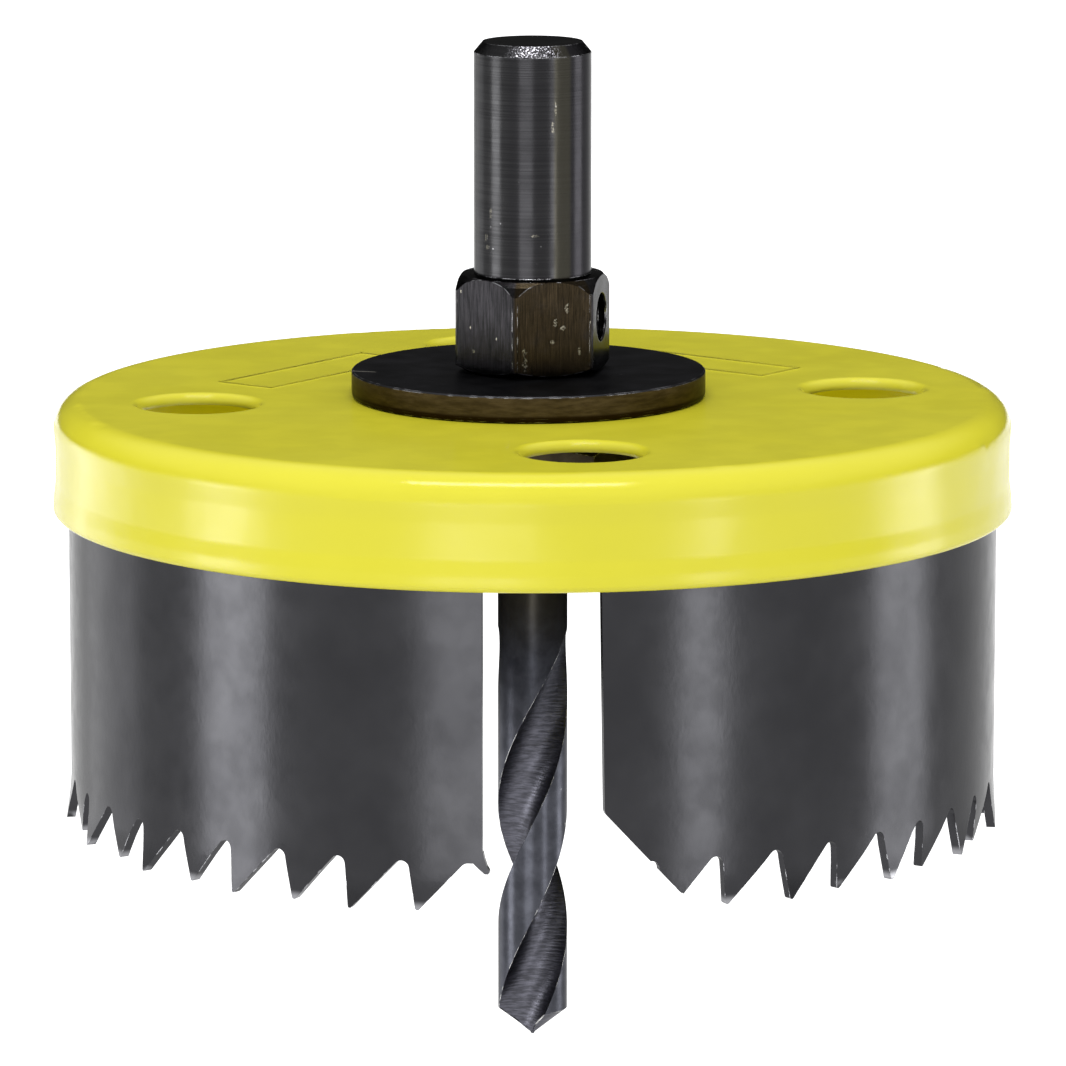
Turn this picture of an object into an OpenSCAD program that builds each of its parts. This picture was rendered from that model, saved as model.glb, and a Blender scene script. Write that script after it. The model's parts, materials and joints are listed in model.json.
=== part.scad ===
// Hole saw, 80 mm, with a yellow sheet-steel cap, two toothed half-ring blades and a pilot drill
// The origin is on the axis at the root of the round shank, with the shank pointing up

/* [Cap] */
// Outside diameter of the cap at its shoulder
cap_d = 81.7; // [78:0.1:90]
// Height of the cap from its plate to its rim
cap_h = 9.5; // [8:0.1:14]
// Thickness of the cap's sheet
cap_sheet = 0.95; // [0.8:0.05:1.5]
// Outside radius of the rolled shoulder
shoulder_r = 2.3; // [1.8:0.1:3]
// Diameter of the round holes in the plate
port_d = 10; // [6:0.1:11]
// Radius of the circle that the holes sit on
port_circle_r = 28.65; // [26:0.05:29]
// Turn of the first hole from the front
port_turn = 8.2; // [-40:0.1:40]

/* [Blades] */
// Outside diameter of the blade strip
blade_d = 79.3; // [79:0.1:80]
// Thickness of the strip
blade_t = 0.75; // [0.6:0.05:1.2]
// Depth from the cap's rim to the tooth tips
blade_depth = 26.7; // [20:0.1:40]
// Height of a tooth from gullet to tip
tooth_h = 4.2; // [3:0.1:5]
// Angle between two teeth
tooth_pitch = 8; // [7.6:0.1:8.2]
// Number of gullets in a blade
gullets = 19; // [12:1:19]
// Distance that each tooth tip is set sideways
tooth_set = 0.45; // [0:0.05:0.6]
// Turn of the leading end of the right blade from the front
lead_turn = 7.9; // [4:0.1:12]
// Turn of the left blade from the right blade
blade_turn = 173.7; // [172:0.1:180]

/* [Arbor] */
// Diameter of the round shank
shank_d = 10; // [8:0.1:12]
// Length of the shank above the collar
shank_len = 19.4; // [15:0.1:40]
// Width across the flats of the hexagonal collar
hex_af = 12; // [11:0.1:14]
// Width across the turned corners of the collar
hex_corner_d = 13.6; // [12.6:0.1:13.8]
// Height of the collar
hex_h = 8.4; // [7:0.1:12]
// Turn of a collar corner from the front
hex_turn = -12.8; // [-30:0.1:30]
// Diameter of the threaded end below the collar
thread_d = 10; // [8:0.5:10]

/* [Pilot drill] */
// Diameter of the drill
drill_d = 6; // [5:0.1:6.5]
// Reach of the drill's point below the tooth tips
drill_lead = 19.8; // [10:0.1:30]
// Height of the drill's point
point_h = 2.4; // [1.5:0.1:3]
// Length of the fluted part, with its run-out
flute_len = 36; // [24:0.1:38]
// Length that the flutes climb in one turn
flute_lead = 38.2; // [28:0.1:45]

/* [Fasteners] */
// Diameter of the large washer
washer_d = 30.2; // [24:0.1:34]
// Thickness of the large washer
washer_t = 2.3; // [1.5:0.1:2.5]
// Width across the flats of the nut
nut_af = 17; // [16:0.5:18]
// Height of the nut
nut_h = 8; // [6:0.1:9]
// Diameter of the grub screw
grub_d = 4; // [3:0.5:4]

/* [Hidden] */

eps = 0.01;
round_fn = 96;
small_fn = 48;
arc_fn = 24;
port_fn = 32;

// Levels, down from the shank's root
collar_top_z = -0.3;
collar_z = collar_top_z - hex_h;
plate_z = collar_z - washer_t;
plate_under_z = plate_z - cap_sheet;
rim_z = plate_z - cap_h;
tip_z = rim_z - blade_depth;
gullet_z = tip_z + tooth_h;
lock_t = 2.2;
nut_z = plate_under_z - lock_t - nut_h;
thread_end_z = nut_z - 1.2;
point_z = tip_z - drill_lead;
drill_shoulder_z = point_z + point_h;
flute_top_z = point_z + flute_len;

// Cap
cap_r = cap_d / 2;
cap_bore_r = thread_d / 2 + 0.2;
waist_in = 0.13;
rim_out = 0.1;
lip_r = 0.7;
panel_w = 5.7;
panel_line = 0.25;
panel_raise = 0.12;
panel_circle_r = 23.3;
// Turn and length of each raised outline
panels = [[142.2, 18.6], [-126, 20.2]];

// Blades
blade_r = blade_d / 2;
blade_in_r = blade_r - blade_t;
blade_top_z = plate_z - shoulder_r - 0.1;
pitch_len = blade_r * tooth_pitch * PI / 180;
lead_to_gullet = 14.2;
trail_past_gullet = 1.7;
gullet_r = 0.65;
root_h = 0.4;
root_in = 0.012;
// Drop below the gullets and share of the set along a bent tooth
bend = [[0.02, 0], [0.19, 0.07], [0.38, 0.23], [1.1, 1.12]];
blade_angle = lead_to_gullet + (gullets - 1) * tooth_pitch + trail_past_gullet;

// Clamp ring
ring_t = 1.0;
ring_flange_r = 35;
ring_bend_r = 1.4;
ring_bottom_z = rim_z + 1;

// Arbor bore and grub screw
bore_r = drill_d / 2 + 0.05;
bore_top_z = 4;
drill_top_z = 3;
grub_z = -4;
grub_turn = hex_turn + 90;
grub_point_x = 2.5;
grub_len = 3;

// Pilot drill
flute_r = 0.883 * drill_d / 2;
web = 0.2 * drill_d;
land_r = drill_d / 2 - 0.02;
flute_turn = 38.8;
runout = 16;
runout_lag = 14;
chisel_r = 0.15;
flute_pts = 6;
land_pts = 9;
point_levels = 5;
flute_levels = 22;
runout_levels = 20;

// Points on an arc from angle a0 to angle a1
function arc(c, r, a0, a1, n = 6) =
    [for (i = [0:n]) let (a = a0 + (a1 - a0) * i / n) c + r * [cos(a), sin(a)]];

// Turns the +X axis to an angle measured from the front toward the right
module at_turn(a) {
    rotate([0, 0, a - 90]) children();
}

// A flat outline, given as tangent and height, driven outward through the blade's wall
module through_wall() {
    translate([blade_r - 3, 0, 0]) rotate([90, 0, 90]) linear_extrude(6) children();
}

// A hexagonal prism with its corners turned to a round
module hex_bar(af, corner_r, h) {
    intersection() {
        cylinder(r = af / 2 / cos(30), h = h, $fn = 6);
        cylinder(r = corner_r, h = h, $fn = small_fn);
    }
}

// Profile of the cap: flat plate, rolled shoulder and a skirt crimped in at its waist
module cap_profile() {
    skirt_in = cap_r - cap_sheet;
    translate([cap_bore_r, -cap_sheet]) square([cap_r - shoulder_r - cap_bore_r, cap_sheet]);
    translate([cap_r - shoulder_r, -shoulder_r]) intersection() {
        difference() {
            circle(shoulder_r, $fn = arc_fn);
            circle(shoulder_r - cap_sheet, $fn = arc_fn);
        }
        square(shoulder_r + 1);
    }
    polygon(concat(
        [[skirt_in, -shoulder_r], [cap_r, -shoulder_r]],
        [[cap_r - waist_in, -shoulder_r - 1.6], [cap_r - waist_in, -cap_h + 2.6]],
        [[cap_r + rim_out * 0.4, -cap_h + 1.3]],
        arc([cap_r + rim_out - 0.4, -cap_h + 0.4], 0.4, 20, -90, 5),
        [[skirt_in + 0.35, -cap_h], [skirt_in + 0.1, -cap_h + 0.5]],
        [[blade_r, -cap_h + 2.4], [blade_r, -shoulder_r - 1.8]]));
}

// A round hole whose upper edge is rolled over
module port() {
    translate([0, 0, -cap_sheet - 1]) cylinder(d = port_d, h = cap_sheet + 2, $fn = port_fn);
    rotate_extrude($fn = port_fn) difference() {
        translate([port_d / 2 - eps, -lip_r]) square([lip_r + eps, lip_r + eps]);
        translate([port_d / 2 + lip_r, -lip_r]) circle(lip_r, $fn = port_fn / 2);
    }
}

// A raised outline on the plate
module panel(length) {
    translate([panel_circle_r, 0, -eps]) linear_extrude(panel_raise + eps) difference() {
        square([panel_w, length], center = true);
        square([panel_w - 2 * panel_line, length - 2 * panel_line], center = true);
    }
}

module cap() {
    color([0.80, 0.76, 0.20]) translate([0, 0, plate_z]) {
        difference() {
            rotate_extrude($fn = round_fn) cap_profile();
            for (i = [0:3]) at_turn(port_turn + 90 * i) translate([port_circle_r, 0, 0]) port();
        }
        for (p = panels) at_turn(p[0]) panel(p[1]);
    }
}

// The inner ring that holds the blades against the skirt
module clamp_ring() {
    color([0.76, 0.71, 0.14]) rotate_extrude($fn = round_fn) {
        translate([ring_flange_r, plate_under_z - ring_t])
            square([blade_in_r - ring_bend_r - ring_flange_r, ring_t]);
        translate([blade_in_r - ring_bend_r, plate_under_z - ring_bend_r]) intersection() {
            difference() {
                circle(ring_bend_r, $fn = arc_fn);
                circle(ring_bend_r - ring_t, $fn = arc_fn);
            }
            square(ring_bend_r + 1);
        }
        translate([blade_in_r - ring_t, ring_bottom_z])
            square([ring_t, plate_under_z - ring_bend_r - ring_bottom_z]);
    }
}

// One tooth between two round gullets: steep leading flank, blunt tip and long back slope
module tooth_outline() {
    tip = [1.25, -tooth_h + 0.22];
    translate([-pitch_len / 2, 0]) polygon(concat(
        [[0.2, root_h]],
        arc([0, -gullet_r], gullet_r, 80, 8, 5),
        arc(tip, 0.2, 188, 316, 4),
        arc([pitch_len, -gullet_r], gullet_r, 136, 100, 3),
        [[pitch_len - 0.2, root_h]]));
}

// A short stretch of wall below the gullets, bent out or in by the tooth set and rooted inside
// the strip, cut to an outline that is centred on the +X axis
module set_outline(side, root = root_h) {
    span = tooth_pitch + 3;
    inner = [for (b = bend) [blade_in_r + side * tooth_set * b[1], -b[0] * tooth_h]];
    last = len(bend) - 1;
    translate([0, 0, gullet_z]) intersection() {
        rotate([0, 0, -span / 2]) rotate_extrude(angle = span, $fn = round_fn) polygon(concat(
            [[blade_in_r + root_in, root], inner[0] + [root_in, 0]],
            [for (i = [1:last]) inner[i]],
            [for (i = [last:-1:1]) inner[i] + [blade_t, 0]],
            [inner[0] + [blade_t - root_in, 0], [blade_r - root_in, root]]));
        through_wall() children();
    }
}

// Teeth set to alternate sides; the first stands before the first gullet
module teeth(first_side) {
    for (i = [-1:gullets - 2])
        at_turn(lead_turn + lead_to_gullet + (i + 0.5) * tooth_pitch)
            set_outline(i % 2 == 0 ? -first_side : first_side) tooth_outline();
}

// What is cropped from the leading end: a slanted edge, a round corner and a long diagonal
module lead_crop() {
    at_turn(lead_turn + 4.9) translate([0, 0, tip_z]) through_wall() polygon(concat(
        [[-12, 40], [-3.45, 40]],
        arc([-2.2, 8.65], 0.8, 180, 223, 4),
        arc([3.445, 1.72], 0.26, 223, 290, 4),
        [[3.534, -2], [-12, -2]]));
}

// The small spur that the cropping leaves at the trailing end
module trail_spur() {
    at_turn(lead_turn + blade_angle) set_outline(1, 1.1) polygon([
        [-1, 1.1], [-1, 0.3], [-0.72, -0.03], [-0.1, -0.62], [0.2, -0.86], [0.45, -0.87],
        [0.6, -0.72], [0.58, -0.57], [0.38, -0.24], [0.19, 0.34], [0.07, 0.87], [-0.05, 1.1]]);
}

// A toothed strip bent to nearly half a ring
module blade(first_side) {
    difference() {
        union() {
            at_turn(lead_turn) rotate_extrude(angle = blade_angle, $fn = round_fn)
                translate([blade_in_r, gullet_z]) square([blade_t, blade_top_z - gullet_z]);
            teeth(first_side);
            trail_spur();
        }
        lead_crop();
    }
}

module blade_right() {
    color([0.27, 0.27, 0.29]) blade(1);
}

module blade_left() {
    color([0.27, 0.27, 0.29]) rotate([0, 0, -blade_turn]) blade(-1);
}

// Profile of the shank with its chamfered end
module shank_profile() {
    r = shank_d / 2;
    polygon([[0, collar_top_z - 2], [r - 0.5, collar_top_z - 2], [r, collar_top_z - 1],
        [r, shank_len - 0.9], [r - 0.75, shank_len], [0, shank_len]]);
}

// Round that turns the collar's corners down toward the shank and the washer
module collar_turning() {
    corner = hex_corner_d / 2;
    translate([0, 0, collar_top_z]) rotate_extrude($fn = small_fn)
        polygon([[0, -hex_h], [hex_af / 2 - 0.5, -hex_h], [hex_af / 2, -hex_h + 0.25],
            [corner, -hex_h + 0.65], [corner, -1.3], [corner - 0.4, -0.55],
            [hex_af / 2, -0.12], [shank_d / 2 + 0.3, 0], [0, 0]]);
}

module arbor() {
    color([0.22, 0.22, 0.24]) difference() {
        union() {
            rotate_extrude($fn = small_fn) shank_profile();
            intersection() {
                at_turn(hex_turn) translate([0, 0, collar_z])
                    hex_bar(hex_af, hex_corner_d / 2, hex_h);
                collar_turning();
            }
            rotate_extrude($fn = small_fn) polygon([[0, thread_end_z],
                [thread_d / 2 - 0.8, thread_end_z], [thread_d / 2, thread_end_z + 0.8],
                [thread_d / 2, collar_z], [thread_d / 2 - 0.5, collar_z + 2], [0, collar_z + 2]]);
        }
        rotate_extrude($fn = small_fn) polygon([[0, thread_end_z - 1], [bore_r, thread_end_z - 1],
            [bore_r, bore_top_z], [0, bore_top_z + bore_r * 0.6]]);
        at_turn(grub_turn) translate([0, 0, grub_z]) rotate([0, 90, 0]) {
            cylinder(d = grub_d, h = hex_af, $fn = arc_fn);
            translate([0, 0, hex_af / 2 - 0.1])
                cylinder(d1 = grub_d, d2 = grub_d + 0.4, h = 0.2, $fn = arc_fn);
        }
    }
}

// Grub screw with a flat point and a hexagonal socket
module grub_screw() {
    socket_af = grub_d / 2;
    color([0.16, 0.16, 0.17]) at_turn(grub_turn) translate([grub_point_x, 0, grub_z])
        rotate([0, 90, 0]) difference() {
            union() {
                cylinder(d1 = grub_d - 0.8, d2 = grub_d, h = 0.4, $fn = arc_fn);
                translate([0, 0, 0.4]) cylinder(d = grub_d, h = grub_len - 0.6, $fn = arc_fn);
                translate([0, 0, grub_len - 0.2])
                    cylinder(d1 = grub_d, d2 = grub_d - 0.4, h = 0.2, $fn = arc_fn);
            }
            translate([0, 0, grub_len - 1.5])
                cylinder(r = socket_af / 2 / cos(30), h = 2, $fn = 6);
        }
}

module washer() {
    r = washer_d / 2;
    bore = thread_d / 2 + 0.45;
    color([0.13, 0.13, 0.14]) translate([-0.35, 0, plate_z]) rotate_extrude($fn = round_fn)
        polygon([[bore, 0], [r - 0.35, 0], [r - 0.08, 0.12], [r, 0.4],
            [r, washer_t - 0.12], [r - 0.12, washer_t], [bore, washer_t]]);
}

// Split spring washer, pressed flat
module lock_washer() {
    in_r = thread_d / 2 + 0.1;
    out_r = 8.8;
    color([0.30, 0.30, 0.31]) translate([0, 0, plate_under_z - lock_t]) difference() {
        rotate_extrude($fn = small_fn) translate([in_r, 0]) square([out_r - in_r, lock_t]);
        at_turn(150) translate([out_r - 2.5, 0, lock_t / 2]) rotate([35, 0, 0])
            cube([10, 1.2, 3 * lock_t], center = true);
    }
}

// Hexagonal nut with both faces turned to a chamfer
module nut() {
    corner = nut_af / 2 / cos(30);
    drop = 0.75;
    color([0.20, 0.19, 0.20]) translate([0, 0, nut_z]) difference() {
        intersection() {
            at_turn(32) cylinder(r = corner, h = nut_h, $fn = 6);
            rotate_extrude($fn = small_fn) polygon([[0, 0], [nut_af / 2 - 0.3, 0],
                [corner, drop], [corner, nut_h - drop], [nut_af / 2 - 0.3, nut_h], [0, nut_h]]);
        }
        translate([0, 0, -1]) cylinder(d = thread_d, h = nut_h + 2, $fn = small_fn);
        for (z = [0, nut_h]) translate([0, 0, z]) mirror([0, 0, z > 0 ? 1 : 0])
            translate([0, 0, -eps])
                cylinder(r1 = thread_d / 2 + 0.5, r2 = thread_d / 2, h = 0.5, $fn = small_fn);
    }
}

// Share of the run-out that lies below a level
function runout_share(z) = max(0, min(1, (z - flute_top_z + runout) / runout));

// Distance of a flute's centre from the axis; the flute lifts out along its run-out
function flute_dist(z) =
    flute_r + web / 2 + (drill_d / 2 - web / 2) * pow(runout_share(z), 3);

// Angle around a flute's own centre, from its deepest point to its edge
function flute_spread(d) =
    max(8, acos(min(1, (d * d + flute_r * flute_r - land_r * land_r) / (2 * d * flute_r))));

// A point of a flute, as an angle from the flute's middle and a distance from the axis
function flute_point(t, d) =
    let (p = [d - flute_r * cos(t), flute_r * sin(t)]) [atan2(p[1], p[0]), norm(p)];

// Angle of the first flute's middle at a level
function flute_angle(z) =
    flute_turn + 360 * (z - point_z) / flute_lead - runout_lag * pow(runout_share(z), 2);

// Radius of the point's cone at a level
function point_radius(z) =
    z < drill_shoulder_z ? max(chisel_r, land_r * (z - point_z) / point_h) : land_r;

// One level's points, along a flute and then a land, on both sides of the axis
function drill_ring(z) =
    let (d = flute_dist(z), t = flute_spread(d), e = flute_point(t, d)[0], half = concat(
        [for (i = [-flute_pts:flute_pts]) flute_point(t * i / flute_pts, d)],
        [for (i = [1:land_pts]) [e + (180 - 2 * e) * i / (land_pts + 1), land_r]]))
    [for (h = [0, 180], p = half)
        let (r = min(p[1], point_radius(z)), a = p[0] + h + flute_angle(z))
        [r * cos(a), r * sin(a), z]];

function drill_levels() = concat(
    [for (i = [0:point_levels]) point_z + point_h * i / point_levels],
    [for (i = [1:flute_levels])
        drill_shoulder_z + (flute_top_z - runout - drill_shoulder_z) * i / flute_levels],
    [for (i = [1:runout_levels]) flute_top_z - runout + runout * i / runout_levels],
    [flute_top_z + 0.5]);

// Fluted body, a skin over all levels
module fluted_body() {
    levels = drill_levels();
    n = 2 * (2 * flute_pts + 1 + land_pts);
    top = len(levels) - 1;
    points = [for (z = levels) each drill_ring(z)];
    sides = [for (k = [0:top - 1], i = [0:n - 1])
        let (a = k * n + i, b = k * n + (i + 1) % n) [a, a + n, b + n, b]];
    lid = [for (i = [0:n - 1]) top * n + n - 1 - i];
    base = [for (i = [0:n - 1]) i];
    polyhedron(points, concat(sides, [lid, base]), convexity = 8);
}

module pilot_drill() {
    color([0.20, 0.20, 0.22]) {
        fluted_body();
        difference() {
            rotate_extrude($fn = small_fn) polygon([[0, flute_top_z], [drill_d / 2, flute_top_z],
                [drill_d / 2, drill_top_z - 0.4], [drill_d / 2 - 0.4, drill_top_z], [0, drill_top_z]]);
            at_turn(grub_turn) translate([grub_point_x, -5, grub_z - 3]) cube([5, 10, 6]);
        }
    }
}

arbor();
grub_screw();
pilot_drill();
washer();
cap();
clamp_ring();
blade_right();
blade_left();
lock_washer();
nut();
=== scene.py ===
import json
import math

import bpy
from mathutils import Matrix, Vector

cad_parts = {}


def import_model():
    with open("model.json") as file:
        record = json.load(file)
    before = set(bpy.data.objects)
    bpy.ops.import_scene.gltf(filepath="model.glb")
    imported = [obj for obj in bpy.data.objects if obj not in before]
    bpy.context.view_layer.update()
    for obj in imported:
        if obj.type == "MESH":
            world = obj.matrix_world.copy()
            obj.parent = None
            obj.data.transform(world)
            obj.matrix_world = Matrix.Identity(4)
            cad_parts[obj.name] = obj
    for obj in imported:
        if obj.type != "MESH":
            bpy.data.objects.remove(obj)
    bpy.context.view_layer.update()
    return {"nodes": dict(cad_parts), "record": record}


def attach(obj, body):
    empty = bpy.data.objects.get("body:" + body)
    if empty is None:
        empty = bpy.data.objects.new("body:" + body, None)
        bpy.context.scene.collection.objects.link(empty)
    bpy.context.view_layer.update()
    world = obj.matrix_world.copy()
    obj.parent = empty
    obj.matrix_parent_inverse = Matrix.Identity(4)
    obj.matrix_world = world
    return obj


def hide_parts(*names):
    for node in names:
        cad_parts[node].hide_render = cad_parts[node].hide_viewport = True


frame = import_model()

nodes = frame["nodes"]
MM = 0.001

# Levels and sizes in millimetres, turns in degrees
GULLET_Z = -43.0
TIP_Z = -47.2
COLLAR_TOP_Z = -0.3
COLLAR_Z = -8.7
PLATE_Z = -11.0
SHANK_R = 5.0
SHANK_END_Z = 19.4
HEX_TURN = -12.8
DRILL_R = 3.0
POINT_Z = -67.0
POINT_H = 2.4
POINT_TIP_R = 0.12
FLUTE_TOP_Z = -31.0
FLUTE_LEAD = 38.2
FLUTE_TURN = 38.8
FLUTE_R = 0.883 * DRILL_R
WEB = 0.4 * DRILL_R
RUNOUT = 16.0
RUNOUT_LAG = 14.0
PLAIN_Z = -20.0
DRILL_TOP_Z = 3.0
DRILL_CHAMFER = 0.4
DRILL_TOP_SHARE = 0.87
LEAST_SPREAD = 8.0
# how far the drill's drawn skin lies inside its solid
SKIN_GAP = 0.012
THREAD_PITCH = 1.5

# How much of the light a dark metal mirrors where it is seen from its edge
STEEL_EDGE_TINT = (0.6, 0.6, 0.6, 1.0)
BLADE_EDGE_TINT = (0.62, 0.62, 0.62, 1.0)

# Worn marks: turn in degrees, level, width in degrees and height
SHANK_MARKS = ((-50.0, 2.2, 3.0, 0.2), (-52.0, 3.0, 2.2, 0.4), (-45.0, 5.2, 2.0, 0.5),
               (20.0, 12.6, 1.4, 0.7), (23.0, 14.2, 1.2, 0.8), (2.0, 3.4, 5.0, 0.12))
COLLAR_MARKS = ((-54.5, -6.6, 2.0, 0.2), (-6.1, -6.3, 1.2, 0.4), (-5.6, -7.3, 1.2, 0.7),
                (15.9, -5.5, 2.2, 0.22), (25.3, -4.35, 2.6, 0.25), (18.4, -3.9, 1.6, 0.4),
                (28.1, -2.75, 1.2, 0.5), (-73.2, -4.0, 1.4, 0.4), (38.0, -6.4, 1.0, 0.4))


def srgb(r, g, b):
    """A colour given as it looks on a screen, from 0 to 255, as linear light."""
    def linear(v):
        v /= 255.0
        return v / 12.92 if v <= 0.04045 else ((v + 0.055) / 1.055) ** 2.4
    return (linear(r), linear(g), linear(b))


class Surface:
    """A material on one glossy shader, with short calls for building its nodes.

    Lengths given to the calls are in millimetres.
    """

    def __init__(self, name):
        self.material = bpy.data.materials.new(name)
        self.material.use_nodes = True
        self.tree = self.material.node_tree
        self.tree.nodes.clear()
        out = self.tree.nodes.new("ShaderNodeOutputMaterial")
        self.shader = self.tree.nodes.new("ShaderNodeBsdfPrincipled")
        self.tree.links.new(self.shader.outputs[0], out.inputs[0])
        place = self.tree.nodes.new("ShaderNodeTexCoord").outputs["Object"]
        self.place = self.vector("MULTIPLY", place, (1 / MM, 1 / MM, 1 / MM))
        self.x, self.y, self.z = self.split(self.place)
        self.geometry = self.tree.nodes.new("ShaderNodeNewGeometry")

    def put(self, socket, value):
        if isinstance(value, bpy.types.NodeSocket):
            self.tree.links.new(value, socket)
        elif value is not None:
            socket.default_value = value

    def set(self, name, value):
        if name == "Base Color" and isinstance(value, tuple):
            value = (*value, 1.0)
        self.put(self.shader.inputs[name], value)

    def math(self, operation, a, b=None, c=None):
        n = self.tree.nodes.new("ShaderNodeMath")
        n.operation = operation
        for i, value in enumerate((a, b, c)):
            self.put(n.inputs[i], value)
        return n.outputs[0]

    def times(self, *values):
        out = values[0]
        for value in values[1:]:
            out = self.math("MULTIPLY", out, value)
        return out

    def plus(self, *values):
        out = values[0]
        for value in values[1:]:
            out = self.math("ADD", out, value)
        return out

    def vector(self, operation, a, b=None):
        n = self.tree.nodes.new("ShaderNodeVectorMath")
        n.operation = operation
        self.put(n.inputs[0], a)
        self.put(n.inputs[1], b)
        return n.outputs["Value" if operation == "DOT_PRODUCT" else "Vector"]

    def split(self, vector):
        n = self.tree.nodes.new("ShaderNodeSeparateXYZ")
        self.put(n.inputs[0], vector)
        return n.outputs

    def join(self, x, y, z):
        n = self.tree.nodes.new("ShaderNodeCombineXYZ")
        for i, value in enumerate((x, y, z)):
            self.put(n.inputs[i], value)
        return n.outputs[0]

    def noise(self, size, detail=2.0, rough=0.5, at=None, stretch=(1, 1, 1)):
        """Noise whose blobs are about size across, around 0.5."""
        n = self.tree.nodes.new("ShaderNodeTexNoise")
        where = self.vector("MULTIPLY", self.place if at is None else at, stretch)
        self.put(n.inputs["Vector"], where)
        self.put(n.inputs["Scale"], 1.0 / size)
        self.put(n.inputs["Detail"], detail)
        self.put(n.inputs["Roughness"], rough)
        return n.outputs["Fac"]

    def dots(self, spacing, size, at=None, stretch=(1, 1, 1)):
        """1 in small scattered dots and 0 between them."""
        n = self.tree.nodes.new("ShaderNodeTexVoronoi")
        where = self.vector("MULTIPLY", self.place if at is None else at, stretch)
        self.put(n.inputs["Vector"], where)
        self.put(n.inputs["Scale"], 1.0 / spacing)
        return self.step(n.outputs["Distance"], size / spacing, 0.6 * size / spacing)

    def marks(self, turn, places):
        """1 in single marks, each given by its turn, level, width in degrees and height."""
        jitter = self.math("SUBTRACT", self.noise(0.25, 3.0, 0.7), 0.5)
        turn = self.plus(turn, self.times(jitter, 6.0))
        level = self.plus(self.z, self.times(jitter, 0.5))
        out = 0.0
        for mark_turn, mark_level, width, height in places:
            across = self.math("DIVIDE", self.math("SUBTRACT", turn, mark_turn), width)
            along = self.math("DIVIDE", self.math("SUBTRACT", level, mark_level), height)
            reach = self.plus(self.times(across, across), self.times(along, along))
            out = self.math("MAXIMUM", out, self.step(reach, 1.0, 0.4))
        return out

    def step(self, value, low, high, to_low=0.0, to_high=1.0):
        """A smooth step from to_low to to_high as the value goes from low to high."""
        n = self.tree.nodes.new("ShaderNodeMapRange")
        n.interpolation_type = "SMOOTHSTEP"
        for i, v in enumerate((value, low, high, to_low, to_high)):
            self.put(n.inputs[i], v)
        return n.outputs[0]

    def band(self, value, low, high, soft):
        """1 between low and high and 0 outside, with soft borders."""
        rise = self.step(value, low - soft, low)
        return self.times(rise, self.step(value, high, high + soft, 1.0, 0.0))

    def mix(self, share, a, b):
        n = self.tree.nodes.new("ShaderNodeMix")
        n.data_type = "RGBA"
        self.put(n.inputs[0], share)
        for i, colour in ((6, a), (7, b)):
            self.put(n.inputs[i], (*colour, 1.0) if isinstance(colour, tuple) else colour)
        return n.outputs[2]

    def bump(self, height, depth, normal=None):
        """Turns a height from 0 to 1 into a relief that is depth high."""
        n = self.tree.nodes.new("ShaderNodeBump")
        self.put(n.inputs["Height"], height)
        n.inputs["Distance"].default_value = depth * MM
        self.put(n.inputs["Normal"], normal)
        return n.outputs[0]

    def rounded(self, radius):
        """The surface's normal with every edge rounded off."""
        n = self.tree.nodes.new("ShaderNodeBevel")
        n.samples = 6
        n.inputs["Radius"].default_value = radius * MM
        return n.outputs[0]

    def edges(self, radius, sharp=0.93):
        """1 along sharp edges and 0 on the open faces."""
        bend = self.vector("DOT_PRODUCT", self.rounded(radius), self.geometry.outputs["Normal"])
        return self.step(bend, sharp, 0.998, 1.0, 0.0)

    def turn(self):
        """Angle from the front toward the right, in degrees."""
        angle = self.math("ARCTAN2", self.x, self.times(self.y, -1.0))
        return self.times(angle, 180.0 / math.pi)

    def radius(self):
        """Distance from the saw's axis."""
        flat = self.join(self.x, self.y, 0.0)
        n = self.tree.nodes.new("ShaderNodeVectorMath")
        n.operation = "LENGTH"
        self.put(n.inputs[0], flat)
        return n.outputs["Value"]

    def upward(self):
        """The vertical part of the surface's normal."""
        return self.split(self.geometry.outputs["Normal"])[2]


def cap_enamel():
    s = Surface("cap_yellow")
    tone = s.step(s.noise(14.0, 3.0), 0.3, 0.7)
    base = s.mix(tone, srgb(207, 200, 48), srgb(210, 203, 53))
    dust = s.times(s.dots(1.9, 0.09), s.step(s.noise(9.0), 0.6, 0.66))
    base = s.mix(s.times(dust, 0.7), base, srgb(150, 138, 40))
    # painted light: the inner walls, seen through the ports, get a lighter, fuller yellow that
    # stands in for light bounced inside the cap, and less gloss
    outward = s.vector("NORMALIZE", s.join(s.x, s.y, 0.0))
    facing = s.vector("DOT_PRODUCT", s.geometry.outputs["Normal"], outward)
    inner = s.times(s.step(facing, -0.3, -0.6), s.step(s.z, PLATE_Z - 0.8, PLATE_Z - 1.2))
    s.set("Base Color", s.mix(inner, base, srgb(232, 220, 22)))
    upward = s.math("ABSOLUTE", s.upward())
    shoulder = s.band(upward, 0.35, 0.9, 0.15)
    rough = s.step(s.noise(4.0), 0.3, 0.7, 0.2, 0.27)
    s.set("Roughness", s.math("SUBTRACT", rough, s.times(shoulder, 0.12)))
    s.set("IOR", s.step(inner, 0.0, 1.0, 1.37, 1.15))
    side = s.step(upward, 0.6, 0.2)
    normal = s.bump(s.noise(16.0, 1.0), 0.04, s.rounded(0.6))
    normal = s.bump(s.times(s.noise(7.0, 2.0), side), 0.09, normal)
    s.set("Normal", s.bump(s.noise(2.4, 2.0), 0.012, normal))
    return s.material


def satin(s, rough):
    """A gloss that varies a little over the steel."""
    s.set("Roughness", s.step(s.noise(2.5, 3.0), 0.3, 0.7, rough, rough + 0.08))


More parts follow.
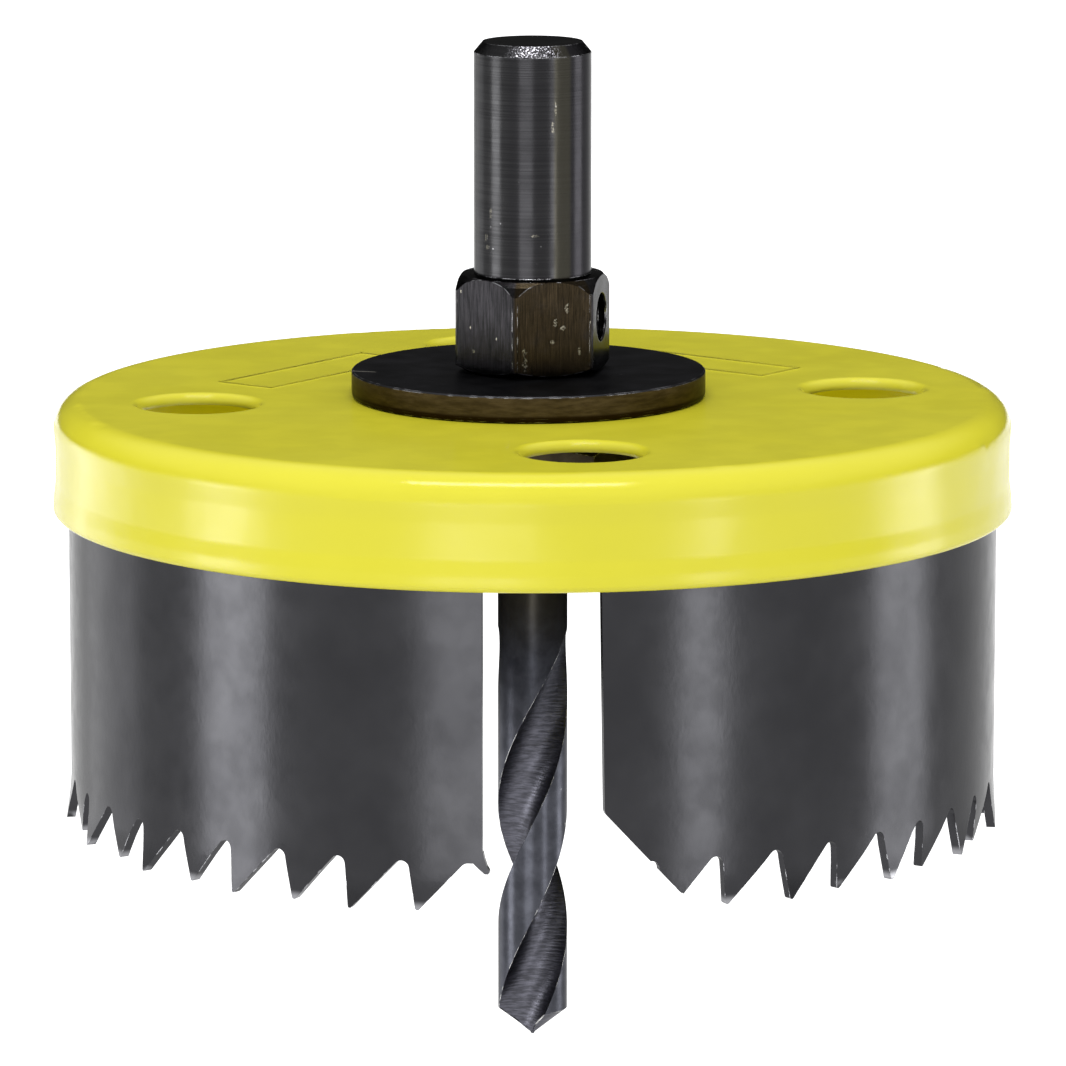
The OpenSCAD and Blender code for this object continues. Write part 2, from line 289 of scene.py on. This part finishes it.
def worn_steel(s, base, edge, wear_colour=(200, 200, 204), wear=0.8):
    """A dark steel with bright worn edges; gives back its rounded normal."""
    rubbed = s.step(s.noise(0.9, 3.0), 0.45, 0.6)
    worn = s.times(s.edges(edge), rubbed, wear)
    s.set("Base Color", s.mix(worn, base, srgb(*wear_colour)))
    s.set("Metallic", 1.0)
    s.set("Specular Tint", STEEL_EDGE_TINT)
    return s.rounded(edge)


def arbor_zones(s, radius):
    """1 on the shank, on the collar and on the chamfer of the shank's end."""
    on_shank = s.times(s.step(radius, SHANK_R + 0.12, SHANK_R + 0.02),
                       s.step(s.z, COLLAR_TOP_Z - 0.1, COLLAR_TOP_Z + 0.1))
    on_collar = s.times(s.step(s.z, COLLAR_TOP_Z + 0.1, COLLAR_TOP_Z - 0.1),
                        s.step(s.z, COLLAR_Z - 0.1, COLLAR_Z + 0.1))
    on_chamfer = s.times(s.band(radius, 4.0, SHANK_R - 0.04, 0.05),
                         s.step(s.z, SHANK_END_Z - 1.1, SHANK_END_Z - 0.9))
    return on_shank, on_collar, on_chamfer


def shank_oxide_and_painted_light(s, turn, rings):
    """Black oxide with turning lines, a painted highlight as a lighter olive band at the right,
    and painted shade darkening two bands.
    """
    oxide = s.mix(s.step(rings, 0.3, 0.7), srgb(38, 38, 39), srgb(47, 47, 48))
    # painted highlight: a lighter olive band from turn 24 to 38, where a lamp's reflection
    # shows
    oxide = s.mix(s.times(s.band(turn, 24, 38, 5), 0.7), oxide, srgb(58, 56, 48))
    # painted shade: darker across the middle, turns -20 to 18, and at the right from turn 36
    middle = s.times(s.band(turn, -20, 18, 8), 0.35)
    right = s.times(s.step(turn, 36, 44), 0.75)
    return s.mix(s.plus(middle, right), oxide, srgb(34, 33, 36))


def collar_oxide(s, turn, scratches):
    """Black milled faces, and a brown one at the front."""
    milled = s.mix(s.step(scratches, 0.35, 0.7), srgb(20, 20, 21), srgb(38, 37, 39))
    brown = s.mix(s.step(scratches, 0.35, 0.75), srgb(23, 19, 12), srgb(42, 35, 24))
    front_face = s.band(turn, HEX_TURN + 1, HEX_TURN + 58, 3)
    cover = s.step(s.noise(2.0, 4.0), 0.2, 0.5, 0.6, 0.95)
    return s.mix(s.times(front_face, cover), milled, brown)


def arbor_wear_and_glints(s, base, turn, zones):
    """Adds the nicks, the pits and the single marks, and paints highlight glints on the
    chamfer.
    """
    on_shank, on_collar, on_chamfer = zones
    nicks = s.times(s.dots(0.9, 0.11, stretch=(1.6, 1.6, 0.6)), s.step(s.noise(1.5), 0.54, 0.6))
    base = s.mix(s.times(nicks, on_collar, 0.6), base, srgb(150, 146, 134))
    pits = s.times(s.dots(1.1, 0.09), s.step(s.noise(2.2), 0.56, 0.62))
    base = s.mix(s.times(pits, on_shank, 0.5), base, srgb(140, 140, 142))
    flaked = s.step(s.noise(0.14, 3.0, 0.8), 0.44, 0.58)
    marks = s.times(s.marks(turn, SHANK_MARKS + COLLAR_MARKS), flaked)
    base = s.mix(s.times(marks, 0.42), base, srgb(150, 146, 132))
    # painted highlight: bright glints on the front of the shank's chamfer, from turn -16 to 20
    sparkle = s.step(s.noise(0.16, 3.0, 0.7), 0.5, 0.7)
    glints = s.times(on_chamfer, s.band(turn, -16, 20, 14), sparkle)
    return s.mix(glints, base, srgb(200, 198, 206))


def arbor_steel():
    s = Surface("black_steel")
    turn = s.turn()
    zones = arbor_zones(s, s.radius())
    on_shank, on_collar, on_chamfer = zones
    # turning lines round the shank and milling lines down the collar
    rings = s.noise(0.1, 1.0, 0.5, s.join(s.times(s.x, 0.01), s.times(s.y, 0.01), s.z))
    scratches = s.noise(0.1, 3.0, 0.7, s.join(s.x, s.y, s.times(s.z, 0.04)))
    base = s.mix(on_shank, collar_oxide(s, turn, scratches), shank_oxide_and_painted_light(s, turn, rings))
    normal = worn_steel(s, arbor_wear_and_glints(s, base, turn, zones), 0.12)
    satin(s, 0.17)
    helix = s.plus(s.times(s.z, 2 * math.pi / THREAD_PITCH), s.times(turn, math.pi / 180))
    thread = s.times(s.math("SINE", helix), s.step(s.z, COLLAR_Z - 0.2, COLLAR_Z - 0.4))
    normal = s.bump(s.plus(0.5, s.times(thread, 0.5)), 0.45, normal)
    normal = s.bump(s.times(rings, on_shank), 0.004, normal)
    normal = s.bump(s.times(scratches, on_collar), 0.012, normal)
    s.set("Normal", s.bump(s.times(s.noise(0.2, 2.0), on_chamfer), 0.05, normal))
    return s.material


def washer_steel():
    s = Surface("washer_black")
    upward = s.math("ABSOLUTE", s.upward())
    side = s.step(upward, 0.7, 0.3)
    top = s.mix(s.step(s.noise(3.0, 4.0), 0.3, 0.7), srgb(42, 42, 44), srgb(52, 52, 55))
    grain = s.noise(0.5, 4.0, 0.6, stretch=(0.3, 0.3, 1.6))
    rim = s.mix(s.step(grain, 0.3, 0.7), srgb(60, 50, 34), srgb(82, 70, 52))
    # painted shadow: the rim darkens toward its bottom, next to the plate
    rim = s.mix(s.step(s.z, PLATE_Z + 0.75, PLATE_Z + 0.45), rim, srgb(34, 24, 10))
    base = s.mix(side, top, rim)
    specks = s.times(s.dots(1.7, 0.12), s.step(s.noise(3.5), 0.55, 0.62))
    base = s.mix(s.times(specks, 0.6), base, srgb(130, 130, 136))
    slant = s.plus(s.y, s.times(s.x, 0.29))
    nick = s.times(s.band(s.x, -15.6, -13.5, 0.3), s.band(slant, -5.66, -5.5, 0.12), upward)
    base = s.mix(nick, base, srgb(190, 186, 176))
    normal = worn_steel(s, base, 0.1)
    satin(s, 0.34)
    s.set("Normal", s.bump(s.noise(0.35, 3.0, 0.6), 0.006, normal))
    return s.material


def drill_steel():
    s = Surface("drill_black")
    radius = s.radius()
    in_flute = s.step(radius, DRILL_R - 0.03, DRILL_R - 0.12)
    base = s.mix(s.step(s.noise(1.5, 4.0, 0.6), 0.3, 0.7), srgb(50, 51, 56), srgb(64, 65, 71))
    # painted reflection: the drill's upper part, under the cap, is tinted a lighter olive
    olive = s.step(s.z, -34.0, -26.0, 0.0, 0.6)
    base = s.mix(olive, base, srgb(76, 70, 50))
    specks = s.times(s.dots(1.6, 0.14), s.step(s.noise(2.2), 0.56, 0.62))
    base = s.mix(s.times(specks, 0.8), base, srgb(190, 190, 186))
    rings = s.noise(0.12, 2.0, 0.8, s.join(s.times(s.x, 0.03), s.times(s.y, 0.03), s.z))
    ground = s.noise(0.16, 3.0, 0.6, s.join(s.times(s.x, 0.14), s.times(s.y, 0.14), s.z))
    streak = s.mix(s.step(ground, 0.35, 0.68), srgb(60, 60, 65), srgb(84, 84, 92))
    base = s.mix(s.times(in_flute, s.step(s.z, -34.0, -40.0, 0.3, 1.0)), base, streak)
    normal = worn_steel(s, base, 0.06, (225, 225, 222), 1.0)
    s.set("Roughness", s.plus(s.step(in_flute, 0.0, 1.0, 0.26, 0.34),
                              s.step(s.z, -48.0, -36.0, 0.0, 0.1)))
    outside = s.times(rings, s.step(in_flute, 0.0, 1.0, 1.0, 0.0))
    normal = s.bump(outside, 0.006, normal)
    normal = s.bump(s.times(ground, in_flute), 0.03, normal)
    s.set("Normal", normal)
    return s.material


def blade_shading(s):
    """The blade's normal, in which the bent teeth run smoothly into the round wall."""
    outward = s.vector("NORMALIZE", s.join(s.x, s.y, 0.0))
    facing = s.vector("DOT_PRODUCT", s.geometry.outputs["Normal"], outward)
    side = s.math("SIGN", facing)
    outward = s.vector("MULTIPLY", outward, s.join(side, side, side))
    share = s.times(s.step(s.math("ABSOLUTE", facing), 0.9, 0.97),
                    s.step(s.z, TIP_Z + 0.8, GULLET_Z - 0.3, 0.15, 1.0))
    rest = s.math("SUBTRACT", 1.0, share)
    round_wall = s.vector("MULTIPLY", outward, s.join(share, share, share))
    own = s.vector("MULTIPLY", s.rounded(0.07), s.join(rest, rest, rest))
    return s.vector("NORMALIZE", s.vector("ADD", round_wall, own))


def blade_coating():
    s = Surface("blade_dark")
    tone = s.step(s.noise(7.0, 4.0), 0.3, 0.7)
    base = s.mix(tone, srgb(46, 46, 48), srgb(52, 52, 54))
    low = s.step(s.z, GULLET_Z - 0.4, GULLET_Z - 0.9)
    rubbed = s.step(s.noise(0.8, 3.0), 0.5, 0.62)
    worn = s.times(s.edges(0.09), rubbed, low)
    tips = s.times(s.step(s.z, TIP_Z + 0.9, TIP_Z + 0.2), s.step(s.noise(5.0, 3.0), 0.5, 0.56))
    base = s.mix(s.math("MAXIMUM", worn, s.times(tips, 0.4)), base, srgb(180, 180, 184))
    s.set("Base Color", base)
    s.set("Metallic", 1.0)
    s.set("Specular Tint", BLADE_EDGE_TINT)
    s.set("Roughness", s.step(s.noise(2.0, 3.0), 0.3, 0.7, 0.18, 0.24))
    normal = s.bump(s.noise(0.4, 3.0, 0.6, stretch=(1, 1, 0.6)), 0.005, blade_shading(s))
    s.set("Normal", s.bump(s.noise(18.0, 1.0, stretch=(1, 1, 0.6)), 0.02, normal))
    return s.material


def nut_steel():
    s = Surface("nut_dark")
    base = s.mix(s.step(s.noise(1.5, 4.0), 0.3, 0.7), srgb(58, 52, 44), srgb(80, 72, 60))
    normal = worn_steel(s, base, 0.12)
    satin(s, 0.36)
    s.set("Normal", s.bump(s.noise(0.3, 3.0, 0.6), 0.01, normal))
    return s.material


looks = {
    "cap_yellow": cap_enamel(),
    "black_steel": arbor_steel(),
    "washer_black": washer_steel(),
    "drill_black": drill_steel(),
    "blade_dark": blade_coating(),
    "nut_dark": nut_steel(),
}
slot_of = {part["node"]: part["material_slot"] for part in frame["record"]["subparts"]}
for name, node in nodes.items():
    for material_slot in node.material_slots:
        material_slot.material = looks[slot_of[name]]


# The pilot drill, as a smooth skin along its two flutes


def runout_share(z):
    """Share of the run-out that lies below a level."""
    return max(0.0, min(1.0, (z - FLUTE_TOP_Z + RUNOUT) / RUNOUT))


def drill_section(z, flute_points, land_points):
    """One level's points: a flute and a land, on both sides of the axis."""
    land_r = DRILL_R - SKIN_GAP
    share = runout_share(z)
    middle_r = FLUTE_R + WEB / 2 + (DRILL_R - WEB / 2) * share ** 3
    opening = (middle_r ** 2 + FLUTE_R ** 2 - land_r ** 2) / (2 * middle_r * FLUTE_R)
    spread = max(math.radians(LEAST_SPREAD), math.acos(min(1.0, opening)))
    cone = land_r
    if z < POINT_Z + POINT_H:
        cone = max(POINT_TIP_R, land_r * (z - POINT_Z) / POINT_H)
    half = []
    for i in range(-flute_points, flute_points + 1):
        t = spread * i / flute_points
        x, y = middle_r - FLUTE_R * math.cos(t), FLUTE_R * math.sin(t)
        half.append((math.atan2(y, x), math.hypot(x, y)))
    edge = half[-1][0]
    for i in range(1, land_points + 1):
        half.append((edge + (math.pi - 2 * edge) * i / (land_points + 1), land_r))
    helix = 360 * (z - POINT_Z) / FLUTE_LEAD
    first = math.radians(FLUTE_TURN + helix - RUNOUT_LAG * share ** 2)
    points = []
    for start in (first, first + math.pi):
        for angle, r in half:
            r = min(r, cone, land_r)
            points.append((r * math.cos(start + angle), r * math.sin(start + angle), z))
    return points


def drill_rings(flute_points, land_points, point_levels, flute_levels):
    """The section's points at every level, from the point up to the drill's top."""
    shoulder_z = POINT_Z + POINT_H
    step = (FLUTE_TOP_Z - shoulder_z) / flute_levels
    levels = [POINT_Z + POINT_H * i / point_levels for i in range(point_levels + 1)]
    levels += [shoulder_z + step * i for i in range(1, flute_levels + 1)]
    rings = [drill_section(z, flute_points, land_points) for z in levels]
    last = rings[-1]
    for z, scale in ((PLAIN_Z, 1.0), (DRILL_TOP_Z - DRILL_CHAMFER, 1.0),
                     (DRILL_TOP_Z, DRILL_TOP_SHARE)):
        rings.append([(x * scale, y * scale, z) for x, y, _ in last])
    return rings


def tube_faces(count, top):
    """The faces of a closed tube of rings with count points each."""
    faces = [(k * count + i, k * count + (i + 1) % count,
              (k + 1) * count + (i + 1) % count, (k + 1) * count + i)
             for k in range(top) for i in range(count)]
    faces.append(tuple(reversed(range(count))))
    faces.append(tuple(top * count + i for i in range(count)))
    return faces


def sharpen(mesh, count, flute_edges, sharp_rings, fluted_rings):
    """Keeps the flutes' edges and the given rings sharp in the smooth mesh."""
    for edge in mesh.edges:
        a, b = edge.vertices
        level_a, level_b = a // count, b // count
        along = level_a != level_b and a % count in flute_edges and b % count == a % count
        around = level_a == level_b and level_a in sharp_rings
        edge.use_edge_sharp = around or (along and max(level_a, level_b) < fluted_rings)


def pilot_drill():
    flute_points, land_points = 12, 20
    point_levels, flute_levels = 14, 150
    soft_levels = 6
    rings = drill_rings(flute_points, land_points, point_levels, flute_levels)
    count = len(rings[0])
    top = len(rings) - 1
    points = [[c * MM for c in point] for ring in rings for point in ring]
    mesh = bpy.data.meshes.new("pilot_drill_ground")
    mesh.from_pydata(points, [], tube_faces(count, top))
    mesh.materials.append(looks["drill_black"])
    for face in mesh.polygons:
        face.use_smooth = True
    half = count // 2
    flute_edges = {0, 2 * flute_points, half, half + 2 * flute_points}
    fluted_rings = point_levels + flute_levels - soft_levels
    sharpen(mesh, count, flute_edges, {0, point_levels, top - 1, top}, fluted_rings)
    drill = bpy.data.objects.new("pilot_drill_ground", mesh)
    bpy.context.scene.collection.objects.link(drill)
    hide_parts("pilot_drill")
    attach(drill, "root")


pilot_drill()


# Floor, studio light and camera, in metres, with the camera's rise in radians

FLOOR_Z = -0.30
FLOOR_HALF = 8.0
FLOOR_GREY = (0.75, 0.75, 0.75, 1)
FLOOR_GLOW = 0.85
WHITE = (1, 1, 1, 1)
# the sky brightens from its low to its high strength, upward and toward the front
SKY_LEAN = -0.5
SKY_FROM, SKY_TO = -0.1, 0.9
SKY_LOW, SKY_HIGH = 0.02, 1.08
LAMP_DISTANCE = 0.9
LAMP_LOW, LAMP_HIGH = -0.29, -0.05
OVERHEAD_PLACE = (-0.03, -0.234, 0.765)
OVERHEAD_SIZE = (0.5, 0.12)
TARGET = Vector((0.0, 0.0, -0.022935))
CAMERA_DISTANCE = 0.6332
CAMERA_RISE = 0.1794
PHOTO_SIZE = 1066
CAMERA_FOCAL = 7391.4 / PHOTO_SIZE
CAMERA_SHIFT = 0.4 / PHOTO_SIZE
SENSOR = 36.0


def white_where_seen(tree, lit, white, out, mirrored=None):
    """Shows the white to the camera, in metal and through glass, and the lit shader elsewhere.

    Mirrored, where given, is the share of the white that metal shows.
    """
    path = tree.nodes.new("ShaderNodeLightPath")
    in_metal = path.outputs["Is Glossy Ray"]
    if mirrored is not None:
        share = tree.nodes.new("ShaderNodeMath")
        share.operation = "MULTIPLY"
        tree.links.new(in_metal, share.inputs[0])
        tree.links.new(mirrored, share.inputs[1])
        in_metal = share.outputs[0]
    seen = path.outputs["Is Camera Ray"]
    for other in (in_metal, path.outputs["Is Transmission Ray"]):
        either = tree.nodes.new("ShaderNodeMath")
        either.operation = "MAXIMUM"
        tree.links.new(seen, either.inputs[0])
        tree.links.new(other, either.inputs[1])
        seen = either.outputs[0]
    mix = tree.nodes.new("ShaderNodeMixShader")
    tree.links.new(seen, mix.inputs[0])
    tree.links.new(lit.outputs[0], mix.inputs[1])
    tree.links.new(white.outputs[0], mix.inputs[2])
    tree.links.new(mix.outputs[0], out.inputs[0])


def floor():
    mesh = bpy.data.meshes.new("floor")
    corners = [(x * FLOOR_HALF, y * FLOOR_HALF, FLOOR_Z)
               for x, y in ((-1, -1), (1, -1), (1, 1), (-1, 1))]
    mesh.from_pydata(corners, [], [(0, 1, 2, 3)])
    plane = bpy.data.objects.new("floor", mesh)
    bpy.context.scene.collection.objects.link(plane)
    pale = bpy.data.materials.new("floor_pale")
    pale.use_nodes = True
    tree = pale.node_tree
    tree.nodes.clear()
    out = tree.nodes.new("ShaderNodeOutputMaterial")
    lit = tree.nodes.new("ShaderNodeBsdfDiffuse")
    lit.inputs[0].default_value = FLOOR_GREY
    glow = tree.nodes.new("ShaderNodeEmission")
    glow.inputs[1].default_value = FLOOR_GLOW
    seen = tree.nodes.new("ShaderNodeAddShader")
    tree.links.new(glow.outputs[0], seen.inputs[0])
    tree.links.new(lit.outputs[0], seen.inputs[1])
    white_where_seen(tree, lit, seen, out)
    mesh.materials.append(pale)


def sky_ramp(tree):
    """The sky's strength for each direction."""
    direction = tree.nodes.new("ShaderNodeTexCoord")
    split = tree.nodes.new("ShaderNodeSeparateXYZ")
    tree.links.new(direction.outputs["Generated"], split.inputs[0])
    lean = tree.nodes.new("ShaderNodeMath")
    lean.operation = "MULTIPLY_ADD"
    lean.inputs[1].default_value = SKY_LEAN
    tree.links.new(split.outputs[1], lean.inputs[0])
    tree.links.new(split.outputs[2], lean.inputs[2])
    rise = tree.nodes.new("ShaderNodeMapRange")
    rise.interpolation_type = "SMOOTHSTEP"
    for i, value in enumerate((0.0, SKY_FROM, SKY_TO, SKY_LOW, SKY_HIGH)):
        rise.inputs[i].default_value = value
    tree.links.new(lean.outputs[0], rise.inputs[0])
    return rise.outputs[0]


def world():
    studio = bpy.data.worlds.new("studio")
    bpy.context.scene.world = studio
    studio.use_nodes = True
    tree = studio.node_tree
    tree.nodes.clear()
    out = tree.nodes.new("ShaderNodeOutputWorld")
    strength = sky_ramp(tree)
    sky = tree.nodes.new("ShaderNodeBackground")
    tree.links.new(strength, sky.inputs[1])
    sky.inputs[0].default_value = WHITE
    white = tree.nodes.new("ShaderNodeBackground")
    white.inputs[0].default_value = WHITE
    white.inputs[1].default_value = 1.0
    white_where_seen(tree, sky, white, out, strength)


def lamp(name, place, size, glow, target):
    """A flat lamp that faces the target; glow is how bright it looks, with 1 as white."""
    data = bpy.data.lights.new(name, "AREA")
    data.shape = "RECTANGLE"
    data.size, data.size_y = size
    data.energy = 4 * size[0] * size[1] * glow
    light = bpy.data.objects.new(name, data)
    bpy.context.scene.collection.objects.link(light)
    light.visible_camera = False
    light.location = place
    facing = target - Vector(place)
    light.rotation_euler = facing.to_track_quat("-Z", "Y").to_euler()


def strip_lamp(name, turn, width, glow):
    """A tall lamp, turned from the front toward the right and width degrees wide."""
    angle = math.radians(turn)
    level = (LAMP_LOW + LAMP_HIGH) / 2
    place = (LAMP_DISTANCE * math.sin(angle), -LAMP_DISTANCE * math.cos(angle), level)
    across = 2 * LAMP_DISTANCE * math.tan(math.radians(width / 2))
    lamp(name, place, (across, LAMP_HIGH - LAMP_LOW), glow, Vector((0, 0, level)))


def camera():
    data = bpy.data.cameras.new("photo")
    data.sensor_width = SENSOR
    data.lens = CAMERA_FOCAL * SENSOR
    data.clip_start, data.clip_end = 0.01, 50.0
    data.shift_x = CAMERA_SHIFT
    view = bpy.data.objects.new("photo", data)
    bpy.context.scene.collection.objects.link(view)
    back = Vector((0, -math.cos(CAMERA_RISE), math.sin(CAMERA_RISE)))
    view.location = TARGET + back * CAMERA_DISTANCE
    view.rotation_euler = (math.pi / 2 - CAMERA_RISE, 0, 0)
    bpy.context.scene.camera = view


floor()
world()
strip_lamp("left_back", -127, 28, 1.3)
strip_lamp("left", -77, 19, 6.0)
strip_lamp("front", -13, 26, 3.0)
strip_lamp("right_front", 41, 11, 4.2)
strip_lamp("right", 101, 20, 4.0)
lamp("overhead", OVERHEAD_PLACE, OVERHEAD_SIZE, 13.0, TARGET)
camera()
bpy.context.scene.view_settings.view_transform = "Standard"

bpy.context.view_layer.update()
